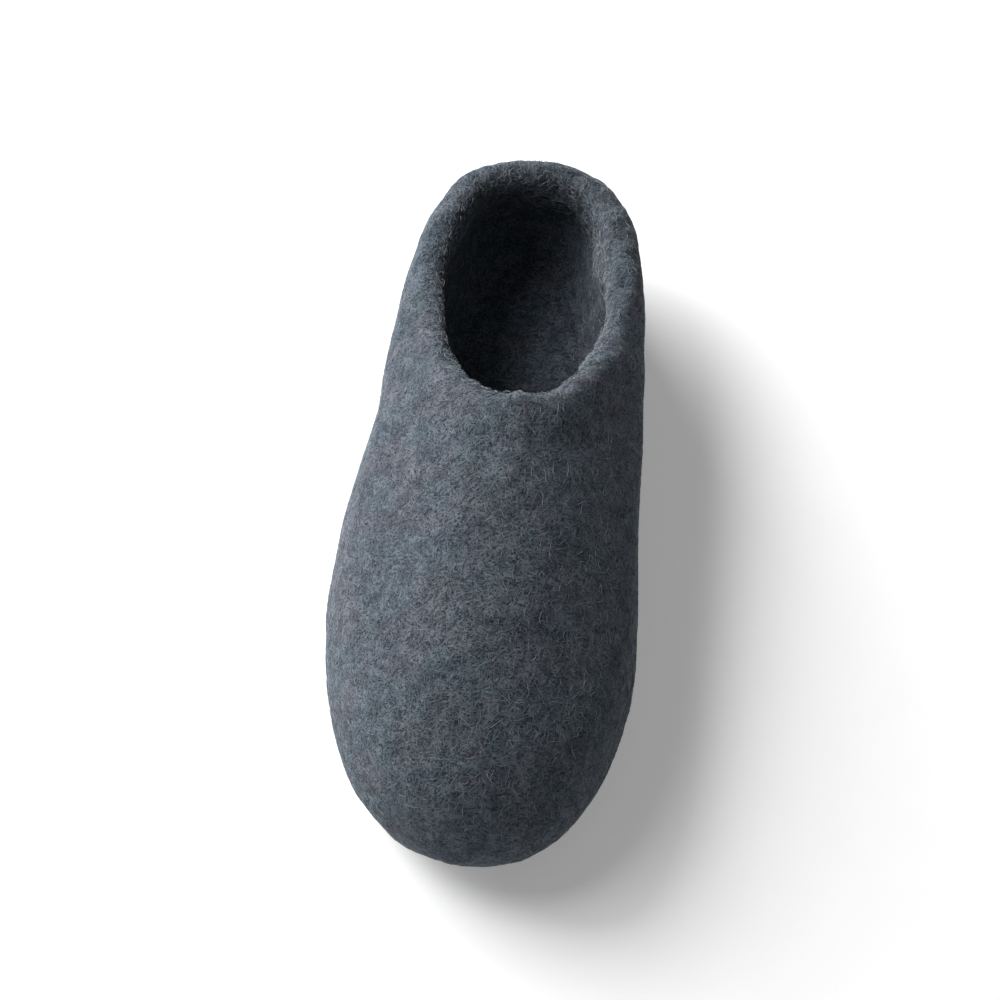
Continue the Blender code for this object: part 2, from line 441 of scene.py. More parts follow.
# sizes in threes run round the collar: everywhere, more at the big-toe side, more at the heel
feltShape = {
    "rimSwell": (0.0014, 0.0008, 0.0014),        # how much thicker the felt is at the rolled rim
    "swellOutside": 0.3,                         # the share of it that goes outwards
    "swellRows": 24,                             # rows below the rim over which it thickens
    "slopeDepth": (0.0030, 0.0085, 0.0070),      # how far down the rim's inner slope runs
    "slopeFullness": (0.0014, 0.0048, 0.0030),   # how far in it stands from the plain wall
    "slopeFade": 0.040,                          # how far down the wall this fullness dies away
    "slopeHandle": 0.42,
    "slopeRows": 20,
    "wallRows": 60,
    "insideCalm": 0.45,              # how much lower lumps, dents and pebbles are inside
    "creaseShoulder": 0.55,          # how strongly the edges of a crease rise the other way
    "seatFadeRows": 8,               # rows over which the relief dies away at both ends
    "footbedFadeRows": 6,
    "coveHeight": (0.009, 0.026),    # rounded inner corner between wall and footbed, at toe and heel
    "coveReach": (0.0055, 0.0095),
    "coveFrom": (0.45, 0.66),        # where along the length the cove grows
    "coveCorner": (0.2, 0.38),
    "coveRows": 18,
}

# layers of random heights, each with its own size and height in metres
everywhereLumps = {
    "lumps": {"size": 0.030, "height": 0.0007, "seed": 3},
    "dents": {"size": 0.012, "height": 0.00032, "seed": 8},
    "pebbles": {"size": 0.0052, "height": 0.00016, "seed": 21},
}
rimLumps = {
    "lumps": {"size": 0.0075, "height": 0.0007, "seed": 31},
    "tufts": {"size": 0.0030, "height": 0.00035, "seed": 40},
}

# soft hollows (depth > 0) and ridges (depth < 0), placed on the outside: width and depth,
# then points of the line, with x in ball widths, y in lengths from the toe, z in throat heights
creases = {
    "ballFlexOuter": (.0085, .0007, (-.40, .36, .45), (-.22, .39, .66), (-.02, .40, .78)),
    "ballFlexInner": (.0080, .0006, (.08, .43, .80), (.26, .41, .68), (.42, .38, .45)),
    "throatDimple": (.0080, .0009, (.12, .47, .90), (.24, .50, .86)),
    "vampHollow": (.0110, .0005, (-.20, .47, .80), (-.05, .45, .86)),
    "outerQuarter": (
        .0170, -.0020, (-.40, .66, .50), (-.38, .76, .58), (-.34, .86, .62), (-.25, .93, .64)),
    "innerQuarter": (.0120, .0010, (.40, .60, .42), (.39, .70, .50), (.37, .80, .50)),
    "heelSag": (.0090, .0009, (-.24, .965, .42), (.0, .99, .40), (.24, .965, .42)),
    "toeFlat": (.0130, .0006, (-.10, .08, .55), (.14, .09, .55)),
    "toeRidge": (.0110, -.0005, (-.16, .16, .66), (-.02, .22, .72)),
}


def shoePoint(x, y, z):
    return np.array([x * shoe["ballWidth"], y * shoe["length"], z * shoe["instepHeight"]])


def creaseDepth(points):
    # each crease is a trough with low shoulders along its line
    total = np.zeros(points.shape[:-1])
    for width, depth, *line in creases.values():
        line = [shoePoint(*point) for point in line]
        nearest = np.full(points.shape[:-1], 1.0)
        for start, end in zip(line, line[1:]):
            span = end - start
            share = np.clip(((points - start) @ span) / (span @ span), 0, 1)
            away = np.linalg.norm(points - start - share[..., None] * span, axis=-1)
            nearest = np.minimum(nearest, away)
        ratio = nearest / width
        total += depth * (1 - feltShape["creaseShoulder"] * ratio ** 2) * np.exp(-ratio ** 2)
    return total


def lumpHeights(points, layers):
    total = np.zeros(points.shape[:-1])
    for layer in layers.values():
        total += layer["height"] * softNoise(points, layer["size"], layer["seed"])
    return total


def baseSurface():
    # the smooth outside as rows of points, from the bottom ring up to the collar
    angle = np.linspace(0, 2 * math.pi, fineness["around"], endpoint=False)
    outlines = np.array([ringOutline(ring, angle) for ring in rings])
    rowCount = (len(rings) - 1) * fineness["rowsPerRing"] + 1
    places = np.linspace(0, len(rings) - 1, rowCount)
    return np.einsum("pr,rak->pak", splineWeights(len(rings), places), outlines)


def insetRow(row, distance):
    # a closed row moved inwards, each point at its own height
    along = np.roll(row, -1, axis=0) - np.roll(row, 1, axis=0)
    inward = unit(np.stack([along[:, 1], -along[:, 0], 0 * along[:, 0]], axis=-1))
    towards = np.sum(inward * (row.mean(axis=0) - row), axis=-1, keepdims=True)
    return row + np.where(towards > 0, inward, -inward) * distance


def footbedRow(distance, height):
    # the seat's outline moved inwards, laid at a height over the underside's curve
    row = insetRow(surface[0], distance)
    row[:, 2] = height + undersideLift(row[:, 0], row[:, 1])
    return row


def growing(row, pair):
    # a size that grows from its value at the toe to its value at the heel
    first, last = feltShape["coveFrom"]
    share = np.clip((row[:, 1] / shoe["length"] - first) / (last - first), 0, 1)
    return (pair[0] + (pair[1] - pair[0]) * share * share * (3 - 2 * share))[:, None]


def aroundCollar(sizes):
    # a size in threes, worked out for each column of the net
    sides = np.linspace(0, 2 * math.pi, fineness["around"], endpoint=False)
    everywhere, bigToe, heel = sizes
    towardsBigToe, towardsHeel = np.clip(np.sin(sides), 0, 1), np.clip(np.cos(sides), 0, 1)
    return (everywhere + bigToe * towardsBigToe + heel * towardsHeel)[:, None]


def smoothShare(value):
    value = np.clip(value, 0, 1)
    return value * value * (3 - 2 * value)


def wallDown(line, coveHeight, slopeDepth):
    # one column of the inner wall, from the foot of the rim's slope down to where the cove starts
    above = line[:, 2] - footbedHeight - undersideLift(line[:, 0], line[:, 1]) - coveHeight
    below = int(np.argmax(above < 0)) if (above < 0).any() else len(line) - 1
    part = above[below - 1] / (above[below - 1] - above[below])
    end = line[below - 1] + (line[below] - line[below - 1]) * part
    line = np.concatenate([line[:below], end[None]])
    lengths = np.concatenate([[0.0], np.cumsum(np.linalg.norm(np.diff(line, axis=0), axis=-1))])
    start = min(slopeDepth, 0.5 * lengths[-1])
    places = np.linspace(start, lengths[-1], feltShape["wallRows"] + 1)
    points = np.stack([np.interp(places, lengths, line[:, axis]) for axis in range(3)], axis=-1)
    return points, start, 1 - smoothShare((places - start) / feltShape["slopeFade"])


def insideRows(lines, middle, halfWall, acrossRim, up):
    # from the rim's crest down its soft inner slope, down the wall and through a cove to the footbed
    seat = surface[0]
    coveHeight = growing(seat, feltShape["coveHeight"])[:, 0]
    slopeDepth = aroundCollar(feltShape["slopeDepth"])[:, 0]
    columns = [wallDown(*column) for column in zip(lines.swapaxes(0, 1), coveHeight, slopeDepth)]
    wall = np.stack([column[0] for column in columns], axis=1)
    start = np.array([column[1] for column in columns])[:, None]
    fade = np.stack([column[2] for column in columns], axis=1)[..., None]
    reach = halfWall + aroundCollar(feltShape["slopeFullness"])
    crest = middle + halfWall * up
    foot = middle - reach * acrossRim - start * up
    firstHandle = crest - feltShape["slopeHandle"] * reach * acrossRim
    secondHandle = foot - feltShape["slopeHandle"] * (halfWall + start) * unit(wall[1] - wall[0])
    rows = []
    for step in range(1, feltShape["slopeRows"] + 1):
        share = step / feltShape["slopeRows"]
        left = 1 - share
        row = crest * left ** 3 + 3 * firstHandle * left ** 2 * share
        rows.append(row + 3 * secondHandle * left * share ** 2 + foot * share ** 3)
    wall = wall + (foot - wall[0]) * fade
    rows += list(wall[1:])
    coveReach = shoe["insoleClearance"] + growing(seat, feltShape["coveReach"])
    footbed = footbedRow(coveReach - shoe["seam"], footbedHeight)
    corner = wall[-1] + (footbed - wall[-1]) * growing(seat, feltShape["coveCorner"])
    corner[:, 2] = footbed[:, 2]
    for step in range(1, feltShape["coveRows"] + 1):
        share = step / feltShape["coveRows"]
        rows.append(wall[-1] * (1 - share) ** 2 + 2 * corner * share * (1 - share) + footbed * share ** 2)
    return rows


def reliefHeights(grid, near):
    # lumps, dents and listed creases outside, softer lumps inside, tufts on the rim
    place = np.arange(len(grid))
    inner = np.clip((place - len(near) + 1) / fineness["rimRows"], 0, 1)[:, None]
    past = place - len(near) - fineness["rimRows"]
    tufts = np.where(past > 0, 1 - smoothShare(past / feltShape["slopeRows"]), 1.0)
    tufts[:len(near)] = near
    ends = np.clip(place / feltShape["seatFadeRows"], 0, 1)
    ends = ends * np.clip((len(grid) - 1 - place) / feltShape["footbedFadeRows"], 0, 1)
    height = lumpHeights(grid, everywhereLumps) * (1 - feltShape["insideCalm"] * inner)
    height -= creaseDepth(grid) * (1 - inner)
    return (height + lumpHeights(grid, rimLumps) * tufts[:, None]) * ends[:, None]


def shellRows(surface):
    # outside, rolled rim and inside as one grid of closed rows, with relief
    normal = gridNormals(surface)
    rowCount = len(surface)
    firstSwell = rowCount - 1 - feltShape["swellRows"]
    near = np.clip((np.arange(rowCount) - firstSwell) / feltShape["swellRows"], 0, 1)
    swell = smoothShare(near)[:, None, None] * aroundCollar(feltShape["rimSwell"])[None]
    outside = surface + normal * swell * feltShape["swellOutside"]
    inside = surface - normal * (shoe["wall"] + swell * (1 - feltShape["swellOutside"]))
    edge, inner = outside[-1], inside[-1]
    alongRim = np.roll(edge, -1, axis=0) - np.roll(edge, 1, axis=0)
    up = unit(np.cross(normal[-1], alongRim))
    up = np.where(up[:, 2:] < 0, -up, up)
    middle = (edge + inner) / 2
    halfWall = np.linalg.norm(edge - inner, axis=-1, keepdims=True) / 2
    acrossRim = unit(edge - inner)
    rim = []
    for step in range(1, fineness["rimRows"] + 1):
        turn = math.pi / 2 * step / fineness["rimRows"]
        rim.append(middle + halfWall * (math.cos(turn) * acrossRim + math.sin(turn) * up))
    firstInside = fineness["rowsPerRing"]
    lines = inside[:firstInside - 1:-1]
    grid = np.array(list(outside) + rim + insideRows(lines, middle, halfWall, acrossRim, up))
    return grid + gridNormals(grid) * reliefHeights(grid, near)[..., None], len(outside)


def rungFill(row, height, firstIndex, rowStart):
    # points and faces that close a row with rungs from side to side
    half = len(row) // 2
    across = fineness["across"]
    share = np.linspace(0, 1, across + 1)[1:-1]
    starts, ends = row[1:half], row[:half:-1]
    points = starts[:, None] + (ends - starts)[:, None] * share[None, :, None]
    points[..., 2] = height + undersideLift(points[..., 0], points[..., 1])
    index = firstIndex + np.arange((half - 1) * (across - 1)).reshape(half - 1, across - 1)
    left = rowStart + np.arange(1, half)[:, None]
    right = rowStart + (len(row) - np.arange(1, half))[:, None]
    net = np.concatenate([left, index, right], axis=1)
    quads = np.stack([net[:-1, :-1], net[1:, :-1], net[1:, 1:], net[:-1, 1:]], axis=-1).reshape(-1, 4)
    heelTris = np.stack([np.full(across, rowStart), net[0, :-1], net[0, 1:]], axis=-1)
    toeTris = np.stack([np.full(across, rowStart + half), net[-1, 1:], net[-1, :-1]], axis=-1)
    return points.reshape(-1, 3), quads, np.concatenate([heelTris, toeTris])


def ringQuads(rowCount, around):
    # the quads between closed rows that follow each other
    lower = np.arange(rowCount - 1)[:, None] * around
    upper = lower + around
    here = np.arange(around)[None, :]
    after = (here + 1) % around
    quads = np.stack([lower + here, upper + here, upper + after, lower + after], axis=-1)
    return quads.reshape(-1, 4)


def closedBody(rows, lowerHeight, upperHeight, relief=None):
    # closed rows, filled at the first row and at the last; relief(points) raises the upper fill
    points = rows.reshape(-1, 3)
    around = rows.shape[1]
    lower, lowerQuads, lowerTris = rungFill(rows[0], lowerHeight, len(points), 0)
    upper, upperQuads, upperTris = rungFill(
        rows[-1], upperHeight, len(points) + len(lower), len(points) - around)
    if relief:
        upper[:, 2] += relief(upper)
    quads = np.concatenate([ringQuads(len(rows), around), lowerQuads, upperQuads])
    points = np.concatenate([points, lower, upper]) + shift
    return points, quads, np.concatenate([lowerTris, upperTris])


def buildMesh(name, points, quads, tris, materials, shades=None):
    # quads first, then triangles; shades gives each face its material
    mesh = bpy.data.meshes.new(name)
    loops = np.concatenate([quads.reshape(-1), tris.reshape(-1)]).astype(np.int32)
    sizes = np.concatenate([np.full(len(quads), 4), np.full(len(tris), 3)])
    starts = np.concatenate([[0], np.cumsum(sizes)[:-1]]).astype(np.int32)
    mesh.vertices.add(len(points))
    mesh.vertices.foreach_set("co", np.asarray(points, np.float32).reshape(-1))
    mesh.loops.add(len(loops))
    mesh.loops.foreach_set("vertex_index", loops)
    mesh.polygons.add(len(sizes))
    mesh.polygons.foreach_set("loop_start", starts)
    for material in materials:
        mesh.materials.append(material)
    if shades is not None:
        mesh.polygons.foreach_set("material_index", shades.astype(np.int32))
    mesh.update(calc_edges=True)
    mesh.validate()
    piece = bpy.data.objects.new(name, mesh)
    bpy.context.scene.collection.objects.link(piece)
    return piece


def turnOutwards(piece):
    # every face of a closed piece points out, and its shading is smooth
    net = bmesh.new()
    net.from_mesh(piece.data)
    bmesh.ops.recalc_face_normals(net, faces=net.faces)
    net.to_mesh(piece.data)
    net.free()
    piece.data.shade_smooth()


surface = baseSurface()
footbedHeight = bottom + shoe["wall"] + shoe["gap"] + shoe["insoleThickness"]
spread = surface.reshape(-1, 3)
shift = -(spread.min(axis=0) + spread.max(axis=0)) / 2
shift[2] = 0.0
shell, outsideRows = shellRows(surface)


def makeFeltMaterial(name, look):
    material, tree, shader, vector = newCloth(name, look)
    length, width, curl = look["strandLength"], look["strandWidth"], look["curl"]
    finerLength, finerWidth, finerCurl, finerLift = look["finerSize"]
    strands = placeGroup(tree, strandGroup, vector, Length=length, Width=width, Curl=curl)
    finer = placeGroup(
        tree, strandGroup, vector, Length=length * finerLength, Width=width * finerWidth,
        Curl=curl * finerCurl)
    heather = placeGroup(
        tree, heatherGroup, vector, Dark=look["dark"], Middle=look["middle"], Pale=look["pale"])
    dye = placeGroup(tree, dyeGroup, vector, Size=look["castSize"], Cool=look["cool"], Warm=look["warm"])
    relief = placeGroup(tree, pebbleGroup, vector, Pebble=look["pebble"], Tooth=look["tooth"])
    strandShare = mathNode(tree, "MULTIPLY", strands.outputs["Strands"], look["strandMix"])
    finerShare = mathNode(tree, "MULTIPLY", finer.outputs["Strands"], look["finerMix"])
    strandTone = mixColour(tree, heather.outputs["Clouds"], look["strandShade"], look["strandColour"])
    first = mixColour(tree, finerShare, heather.outputs["Color"], strandTone)
    second = mixColour(tree, strandShare, first, strandTone)
    dyed = mixColour(tree, 1.0, second, dye.outputs["Cast"], "MULTIPLY")
    tree.links.new(dyed, shader.inputs["Base Color"])
    roughness = mapRange(tree, strands.outputs["Strands"], 0.0, 1.0, *look["roughness"])
    tree.links.new(roughness, shader.inputs["Roughness"])
    strandHeight = mathNode(tree, "MULTIPLY", strands.outputs["Strands"], look["strandHeight"])
    finerHeight = mathNode(
        tree, "MULTIPLY", finer.outputs["Strands"], look["strandHeight"] * finerLift)
    bothHeights = mathNode(tree, "ADD", strandHeight, finerHeight)
    height = mathNode(tree, "ADD", bothHeights, relief.outputs["Height"])
    addBump(tree, shader, height, look)
    return material


upperLook = {
    "dark": (0.006, 0.008, 0.012, 1),
    "middle": (0.015, 0.021, 0.029, 1),
    "pale": (0.027, 0.036, 0.047, 1),
    "castSize": 70.0,
    "cool": (0.90, 1.00, 1.02, 1),
    "warm": (1.03, 0.98, 1.00, 1),
    "strandShade": (0.082, 0.096, 0.115, 1),
    "strandColour": (0.140, 0.157, 0.181, 1),
    "strandLength": 0.0046,
    "strandWidth": 0.00068,
    "curl": 0.0022,
    "finerSize": (0.55, 0.6, 0.8, 0.5),    # the finer strands' length, width, curl and height, in shares
    "strandMix": 0.72,
    "finerMix": 0.50,
    "strandHeight": 0.35,
    "pebble": 0.9,
    "tooth": 0.25,
    "bump": 0.8,
    "bumpDepth": 0.0005,
    "roughness": (0.98, 0.86),             # between the strands, and on them
    "specular": 0.12,
    "sheen": 0.10,
    "sheenRoughness": 0.55,
    "sheenTint": (0.75, 0.82, 0.9, 1),
}
feltMaterial = makeFeltMaterial("slateFelt", upperLook)


def buildUpper():
    # the shell, closed below by its underside and inside by the felt bottom under the insole
    seatRow = shell[-1].copy()
    seatRow[:, 2] = bottom + shoe["wall"] + undersideLift(seatRow[:, 0], seatRow[:, 1])
    rows = np.concatenate([shell, seatRow[None]])
    points, quads, tris = closedBody(rows, bottom, bottom + shoe["wall"])
    piece = buildMesh("feltUpper", points, quads, tris, [feltMaterial])
    turnOutwards(piece)
    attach(piece, "root")
    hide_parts("upper")
    return piece


feltUpper = buildUpper()
print("felt upper:", len(feltUpper.data.polygons), "faces")

# the felt insole and the suede sole


def buildPad(name, outline, base, profile, material, relief=None):
    # profile pairs an inset with a height
    rows = []
    for inward, up in profile:
        row = insetRow(outline, inward)
        row[:, 2] = base + up + undersideLift(row[:, 0], row[:, 1])
        rows.append(row)
    points, quads, tris = closedBody(
        np.array(rows), base + profile[0][1], base + profile[-1][1], relief)
    piece = buildMesh(name, points, quads, tris, [material])
    turnOutwards(piece)
    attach(piece, "root")
    return piece


insoleLook = dict(
    upperLook, strandMix=0.6, finerMix=0.35, strandHeight=0.25, pebble=0.6, sheen=0.06)
insoleMaterial = makeFeltMaterial("insoleFelt", insoleLook)
insoleShape = {
    "edge": 0.00012,
    "edgeSteps": 6,
    "relief": 0.00012,
    "reliefSize": 0.011,
    "reliefSeed": 5,
}


def insoleRelief(points):
    heights = softNoise(points, insoleShape["reliefSize"], insoleShape["reliefSeed"])
    return insoleShape["relief"] * heights


def roundedEdge(thickness, radius, steps):
    # from the lower edge up the side and round the upper edge
    profile = [(0.0, 0.0), (0.0, (thickness - radius) * 0.5)]
    for step in range(steps + 1):
        turn = math.pi / 2 * step / steps
        profile.append((radius * (1 - math.cos(turn)), thickness - radius + radius * math.sin(turn)))
    return profile


insoleInset = shoe["insoleClearance"] + growing(surface[0], feltShape["coveReach"])
insoleOutline = insetRow(surface[0], insoleInset)
insoleBase = bottom + shoe["wall"] + shoe["gap"]
insoleProfile = roundedEdge(shoe["insoleThickness"], insoleShape["edge"], insoleShape["edgeSteps"])
feltInsole = buildPad(
    "feltInsole", insoleOutline, insoleBase, insoleProfile, insoleMaterial, insoleRelief)
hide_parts("insole")

suedeLook = {
    "dark": (0.095, 0.066, 0.045, 1),
    "middle": (0.165, 0.118, 0.082, 1),
    "pale": (0.225, 0.168, 0.120, 1),
    "nap": 900.0,
    "bump": 0.5,
    "bumpDepth": 0.0002,
    "scuff": 38.0,
    "worn": 0.5,                   # share of the pale shade on the most worn patches
    "wornEdges": (0.5, 0.72),
    "roughness": (0.95, 0.78),     # off the patches, and on them
    "smoothEdges": (0.4, 0.7),
    "specular": 0.15,
    "sheen": 0.25,
    "sheenRoughness": 0.4,
    "sheenTint": (0.9, 0.75, 0.6, 1),
}


def makeSuedeMaterial():
    look = suedeLook
    material, tree, shader, vector = newCloth("suedeNap", look)
    heather = placeGroup(
        tree, heatherGroup, vector, Dark=look["dark"], Middle=look["middle"], Pale=look["pale"])
    nap = noiseNode(tree, vector, look["nap"], detail=3.0, roughness=0.65)
    scuffs = noiseNode(tree, vector, look["scuff"], detail=4.0, roughness=0.6)
    worn = mapRange(tree, scuffs.outputs["Fac"], *look["wornEdges"], 0.0, look["worn"])
    colour = mixColour(tree, worn, heather.outputs["Color"], look["pale"])
    tree.links.new(colour, shader.inputs["Base Color"])
    roughness = mapRange(tree, scuffs.outputs["Fac"], *look["smoothEdges"], *look["roughness"])
    tree.links.new(roughness, shader.inputs["Roughness"])
    addBump(tree, shader, nap.outputs["Fac"], look)
    return material


suedeMaterial = makeSuedeMaterial()
soleShape = {
    "edge": 0.0008,
    "edgeSteps": 4,
    "bevel": 0.0002,
    "bevelInset": 0.0005,
}


def soleProfile():
    # rounded lower edge, a small bevel at the upper one
    edge, bevel, thickness = soleShape["edge"], soleShape["bevel"], shoe["soleThickness"]
    profile = []
    for step in range(soleShape["edgeSteps"] + 1):
        turn = math.pi / 2 * step / soleShape["edgeSteps"]
        profile.append((edge * (1 - math.sin(turn)), edge * (1 - math.cos(turn))))
    profile += [(0.0, thickness * 0.7), (bevel, thickness - bevel)]
    return profile + [(soleShape["bevelInset"], thickness)]


suedeSole = buildPad(
    "suedeSole", insetRow(surface[0], shoe["soleTuck"]), 0.0, soleProfile(), suedeMaterial)
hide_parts("sole")
print("insole and sole:", len(feltInsole.data.polygons), len(suedeSole.data.polygons), "faces")

# loose wool: thin closed strands that lie on the felt or stand from it

woolShades = {
    "paleWool": (0.255, 0.280, 0.312, 1),
    "greyWool": (0.160, 0.186, 0.216, 1),
    "slateWool": (0.082, 0.100, 0.130, 1),
    "darkWool": (0.012, 0.017, 0.022, 1),
}
woolFinish = {
    "Metallic": 0.0,
    "Roughness": 0.85,
    "Specular_IOR_Level": 0.2,
    "Sheen_Weight": 0.15,
    "Sheen_Roughness": 0.5,
}
woolMaterials = [
    newMaterial(name, Base_Color=colour, **woolFinish)[0] for name, colour in woolShades.items()]


def readGrid(grid, rows, columns):
    # smooth value of a grid of closed rows at broken row and column numbers
    rows = np.clip(rows, 0, len(grid) - 1.001)    # so that there is always a row above
    rowBase = np.floor(rows).astype(int)
    columnBase = np.floor(columns).astype(int)
    rowPart, columnPart = (rows - rowBase)[..., None], (columns - columnBase)[..., None]
    around = grid.shape[1]
    here, after = columnBase % around, (columnBase + 1) % around
    lower = grid[rowBase, here] * (1 - columnPart) + grid[rowBase, after] * columnPart
    upper = grid[rowBase + 1, here] * (1 - columnPart) + grid[rowBase + 1, after] * columnPart
    return lower * (1 - rowPart) + upper * rowPart


insoleNet = {
    "rows": 14,
    "reach": 0.94,       # how far the rows go towards the insole's middle line
    "spineEnds": 0.03,   # metres of the insole's length before and behind that line
}


def footbedRows():
    # rows that go on from the cove over the insole towards its middle line
    edge, room = shell[-1], insoleNet["spineEnds"]
    spine = edge.copy()
    spine[:, 0] = (edge[:, 0] + np.roll(edge[::-1], 1, axis=0)[:, 0]) / 2
    spine[:, 1] = np.clip(edge[:, 1], edge[:, 1].min() + room, edge[:, 1].max() - room)
    rows = []
    for step in range(1, insoleNet["rows"] + 1):
        row = edge + (spine - edge) * insoleNet["reach"] * step / insoleNet["rows"]
        row[:, 2] = footbedHeight + undersideLift(row[:, 0], row[:, 1])
        rows.append(row)
    return np.array(rows)


felt = np.concatenate([shell, footbedRows()])
feltNormals = gridNormals(felt)
columnSteps = (np.roll(felt, -1, axis=1) - np.roll(felt, 1, axis=1)) / 2
rowSteps = np.gradient(felt, axis=0)


def scatterStarts(random, count, firstRow, lastRow):
    # starting places spread evenly over the felt between two rows
    area = np.linalg.norm(np.cross(columnSteps, rowSteps), axis=-1)[firstRow:lastRow]
    share = np.cumsum(area.reshape(-1))
    picked = np.searchsorted(share, random.uniform(0, share[-1], count))
    rows = firstRow + picked // felt.shape[1] + random.uniform(0, 1, count)
    columns = picked % felt.shape[1] + random.uniform(0, 1, count)
    return rows, columns


strandForm = {
    "leastCrook": 0.4,
    "riseLate": 1.4,        # a leaning strand rises late, by this power
    "stepLimit": 1.5,       # keeps a strand short where the net is pinched
    "tipWidth": 0.35,
    "fullness": 0.6,        # lower keeps a strand thicker towards its ends
    "tipEnds": (0.04, 0.96),
}


def growStrands(random, wool):
    # walks each strand over the felt in small steps, curling as it goes
    count, steps = wool["count"], wool["steps"]
    rows, columns = scatterStarts(random, count, *wool["rows"])
    length = random.uniform(*wool["length"], count)
    heading = random.uniform(0, 2 * math.pi, count)
    bend = random.normal(0, wool["curl"], count)
    crook = random.uniform(strandForm["leastCrook"], 1.0, count) * wool["crook"]
    phase = random.uniform(0, 2 * math.pi, count)
    rise = random.uniform(*wool["rise"], count)
    lean = random.uniform(*wool["lean"], count)
    paths, ups = [], []
    for step in range(steps + 1):
        share = step / steps
        point = readGrid(felt, rows, columns)
        up = unit(readGrid(feltNormals, rows, columns))
        arch = math.sin(math.pi * share) * (1 - lean) + share ** strandForm["riseLate"] * lean
        height = rise * arch - wool["sink"] * (1 - arch)
        paths.append(point + up * height[:, None])
        ups.append(up)
        acrossStep = readGrid(columnSteps, rows, columns)
        upStep = readGrid(rowSteps, rows, columns)
        side = unit(acrossStep)
        forward = unit(np.cross(up, side))
        turn = heading + bend * share + crook * np.sin(phase + wool["waves"] * 2 * math.pi * share)
        way = np.cos(turn)[:, None] * side + np.sin(turn)[:, None] * forward
        way = way * (length / steps)[:, None]
        # the way in metres becomes steps in columns and rows of the net
        aa, bb = np.sum(acrossStep ** 2, -1), np.sum(upStep ** 2, -1)
        ab = np.sum(acrossStep * upStep, -1)
        wa, wb = np.sum(way * acrossStep, -1), np.sum(way * upStep, -1)
        scale = aa * bb - ab ** 2
        longest = strandForm["stepLimit"] * length / steps
        columnLimit, rowLimit = longest / np.sqrt(aa), longest / np.sqrt(bb)
        columns = columns + np.clip((wa * bb - wb * ab) / scale, -columnLimit, columnLimit)
        rows = rows + np.clip((wb * aa - wa * ab) / scale, -rowLimit, rowLimit)
        rows = np.clip(rows, 1, len(felt) - 2)
    return np.stack(paths, axis=1), np.stack(ups, axis=1)


def strandPiece(name, wool):
    # closed three-sided tubes, thinner towards both ends
    random = np.random.default_rng(wool["seed"])
    paths, ups = growStrands(random, wool)
    count, places = paths.shape[:2]
    along = unit(np.gradient(paths, axis=1))
    side = unit(np.cross(along, ups))
    top = np.cross(side, along)
    share = np.linspace(0, 1, places)
    belly = np.sin(math.pi * np.clip(share, *strandForm["tipEnds"])) ** strandForm["fullness"]
    taper = strandForm["tipWidth"] + (1 - strandForm["tipWidth"]) * belly
    radius = random.uniform(*wool["radius"], count)[:, None, None] * taper[None, :, None]
    corners = []
    for corner in range(3):
        turn = math.pi / 2 + 2 * math.pi * corner / 3
        corners.append(paths + radius * (math.cos(turn) * side + math.sin(turn) * top))
    points = np.stack(corners, axis=2).reshape(-1, 3) + shift
    base = np.arange(count)[:, None, None] * places * 3
    ring = base + np.arange(places - 1)[None, :, None] * 3
    here = np.arange(3)[None, None, :]
    after = (here + 1) % 3
    quads = np.stack([ring + here, ring + 3 + here, ring + 3 + after, ring + after], axis=-1)
    quads = quads.reshape(-1, 4)
    first = base[:, 0] + np.array([0, 1, 2])
    last = base[:, 0] + (places - 1) * 3 + np.array([2, 1, 0])
    tris = np.concatenate([first, last])
    shade = random.choice(len(woolMaterials), count, p=wool["shades"])
    shades = np.concatenate([np.repeat(shade, (places - 1) * 3), shade, shade])
    piece = buildMesh(name, points, quads, tris, woolMaterials, shades)
    piece.data.shade_smooth()
    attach(piece, "root")
    print(name, "strands:", count, "triangles:", 2 * len(quads) + len(tris))


rimRow = outsideRows
slopeEnd = outsideRows + fineness["rimRows"] + feltShape["slopeRows"]

# strands start between two rows of the net. Sizes are in metres, curl and crook in radians;
# a strand with lean 0 arches back to the felt, one with lean 1 ends at its full rise
woolPieces = {
    "outerWool": {
        "seed": 11, "rows": (4, rimRow), "count": 6200, "steps": 5,
        "length": (0.0030, 0.0075), "curl": 0.9, "crook": 0.6, "waves": 0.8,
        "rise": (0.00002, 0.00015), "lean": (0.0, 0.25), "sink": 0.00008,
        "radius": (0.00005, 0.00009), "shades": (0.34, 0.42, 0.18, 0.06),
    },
    "fineWool": {
        "seed": 12, "rows": (4, rimRow), "count": 9800, "steps": 3,
        "length": (0.0018, 0.0045), "curl": 0.9, "crook": 0.5, "waves": 0.6,
        "rise": (0.00002, 0.00014), "lean": (0.0, 0.3), "sink": 0.00006,
        "radius": (0.00005, 0.00008), "shades": (0.36, 0.42, 0.16, 0.06),
    },
    "rimWool": {
        "seed": 13, "rows": (rimRow + 2, slopeEnd + 4), "count": 5000, "steps": 6,
        "length": (0.0022, 0.0065), "curl": 2.4, "crook": 1.1, "waves": 0.9,
        "rise": (0.0001, 0.0014), "lean": (0.1, 0.9), "sink": 0.00010,
        # the larger share of pale strands here is a painted highlight along the rim; each strand's own
        # shade is picked at random
        "radius": (0.00005, 0.00009), "shades": (0.50, 0.32, 0.12, 0.06),
    },
    "innerWool": {
        "seed": 14, "rows": (slopeEnd - 6, len(felt) - 2), "count": 4200, "steps": 4,
        "length": (0.002, 0.0055), "curl": 1.6, "crook": 0.9, "waves": 0.8,
        "rise": (0.00005, 0.0004), "lean": (0.0, 0.5), "sink": 0.00008,
        "radius": (0.00006, 0.0001), "shades": (0.30, 0.40, 0.22, 0.08),
    },
}
for name, wool in woolPieces.items():
    strandPiece(name, wool)

# floor, lights and camera

